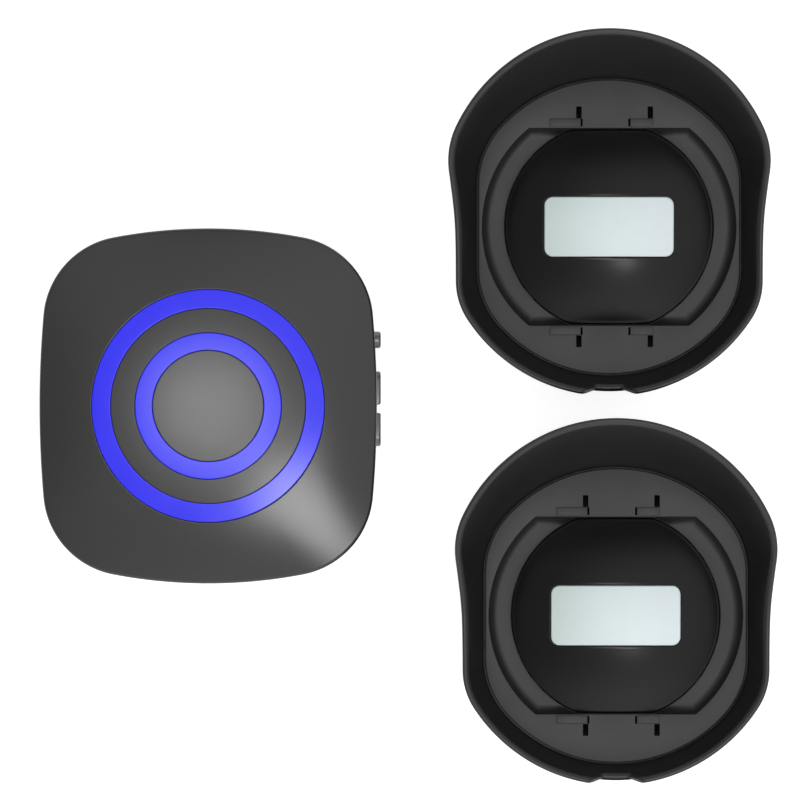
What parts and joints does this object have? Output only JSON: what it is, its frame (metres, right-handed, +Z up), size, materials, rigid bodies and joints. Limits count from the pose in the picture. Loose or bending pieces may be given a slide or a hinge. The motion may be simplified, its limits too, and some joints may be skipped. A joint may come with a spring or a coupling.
{
  "type": "wireless entry chime set",
  "caption": "Entry chime set laid face up: a rounded-square receiver with lit rings and side buttons, and hooded motion sensors on slide-off wall brackets.",
  "frame": {"origin": "middle of the whole set's footprint, on the surface that it lies on", "axes": "+X to the right across the set, +Y towards the top of each unit, +Z up, out of the units' faces"},
  "size_m": [0.1542, 0.1573, 0.0586],
  "materials": {
    "case_plastic": "fine satin moulded texture, dark grey",
    "button_plastic": "satin moulded, mid grey",
    "ring_light": "translucent diffuser lit blue from behind",
    "housing_plastic": "fine spark-textured, black",
    "face_plastic": "fine spark-textured, charcoal",
    "gloss_dome": "polished black",
    "lens_plastic": "translucent white lens",
    "black_moulding": "black component mouldings",
    "circuit_board": "green solder mask",
    "led_body": "clear-topped light sources",
    "steel": "plated steel",
    "speaker_paper": "black pressed cone",
    "magnet": "dark plated",
    "cell_sleeve": "plain printed sleeve with no markings",
    "rubber": "soft black"
  },
  "bodies": {
    "receiver": {"receiver_front_shell": "case_plastic", "receiver_back_shell": "case_plastic", "light_guide": "ring_light", "ring_band": "case_plastic", "centre_disc": "case_plastic", "side_switches": "black_moulding", "receiver_circuit_board": "circuit_board", "receiver_chips": "black_moulding", "ring_leds": "led_body", "speaker_basket": "steel", "speaker_cone": "speaker_paper", "speaker_magnet": "magnet", "receiver_antenna": "steel", "receiver_batteries": "cell_sleeve", "receiver_battery_contacts": "steel", "receiver_feet": "rubber", "case_screws": "steel"},
    "pair_button": {"pair_button": "button_plastic"},
    "volume_button": {"volume_button": "button_plastic"},
    "melody_button": {"melody_button": "button_plastic"},
    "battery_door": {"battery_door": "case_plastic", "door_feet": "rubber"},
    "sensor_1": {"sensor_1_hood": "housing_plastic", "sensor_1_face_plate": "face_plastic", "sensor_1_bezel": "face_plastic", "sensor_1_dome": "gloss_dome", "sensor_1_lens": "lens_plastic", "sensor_1_detector": "steel", "sensor_1_circuit_board": "circuit_board", "sensor_1_chips": "black_moulding", "sensor_1_antenna": "steel", "sensor_1_battery_tray": "housing_plastic", "sensor_1_batteries": "cell_sleeve", "sensor_1_battery_contacts": "steel", "sensor_1_gasket": "rubber", "sensor_1_back_cover": "housing_plastic", "sensor_1_cover_screws": "steel"},
    "sensor_1_bracket": {"sensor_1_wall_bracket": "housing_plastic"},
    "sensor_2": {"sensor_2_hood": "housing_plastic", "sensor_2_face_plate": "face_plastic", "sensor_2_bezel": "face_plastic", "sensor_2_dome": "gloss_dome", "sensor_2_lens": "lens_plastic", "sensor_2_detector": "steel", "sensor_2_circuit_board": "circuit_board", "sensor_2_chips": "black_moulding", "sensor_2_antenna": "steel", "sensor_2_battery_tray": "housing_plastic", "sensor_2_batteries": "cell_sleeve", "sensor_2_battery_contacts": "steel", "sensor_2_gasket": "rubber", "sensor_2_back_cover": "housing_plastic", "sensor_2_cover_screws": "steel"},
    "sensor_2_bracket": {"sensor_2_wall_bracket": "housing_plastic"}
  },
  "joints": [
    {"name": "pair_button_press", "type": "slide", "parent": "receiver", "child": "pair_button", "axis": [-1, 0, 0], "range_m": [0, 0.0005], "stiffness_N_per_m": 2000},
    {"name": "volume_button_press", "type": "slide", "parent": "receiver", "child": "volume_button", "axis": [-1, 0, 0], "range_m": [0, 0.0005], "stiffness_N_per_m": 2000},
    {"name": "melody_button_press", "type": "slide", "parent": "receiver", "child": "melody_button", "axis": [-1, 0, 0], "range_m": [0, 0.0005], "stiffness_N_per_m": 2000},
    {"name": "battery_door_slide", "type": "slide", "parent": "receiver", "child": "battery_door", "axis": [0, -1, 0], "range_m": [0, 0.0327]},
    {"name": "sensor_1_lift", "type": "slide", "parent": "receiver", "child": "sensor_1", "axis": [0, 0, 1], "range_m": [0, 0.08]},
    {"name": "sensor_1_bracket_slide", "type": "slide", "parent": "sensor_1", "child": "sensor_1_bracket", "axis": [0, -1, 0], "range_m": [0, 0.036]},
    {"name": "sensor_2_lift", "type": "slide", "parent": "receiver", "child": "sensor_2", "axis": [0, 0, 1], "range_m": [0, 0.08]},
    {"name": "sensor_2_bracket_slide", "type": "slide", "parent": "sensor_2", "child": "sensor_2_bracket", "axis": [0, -1, 0], "range_m": [0, 0.036]}
  ]
}
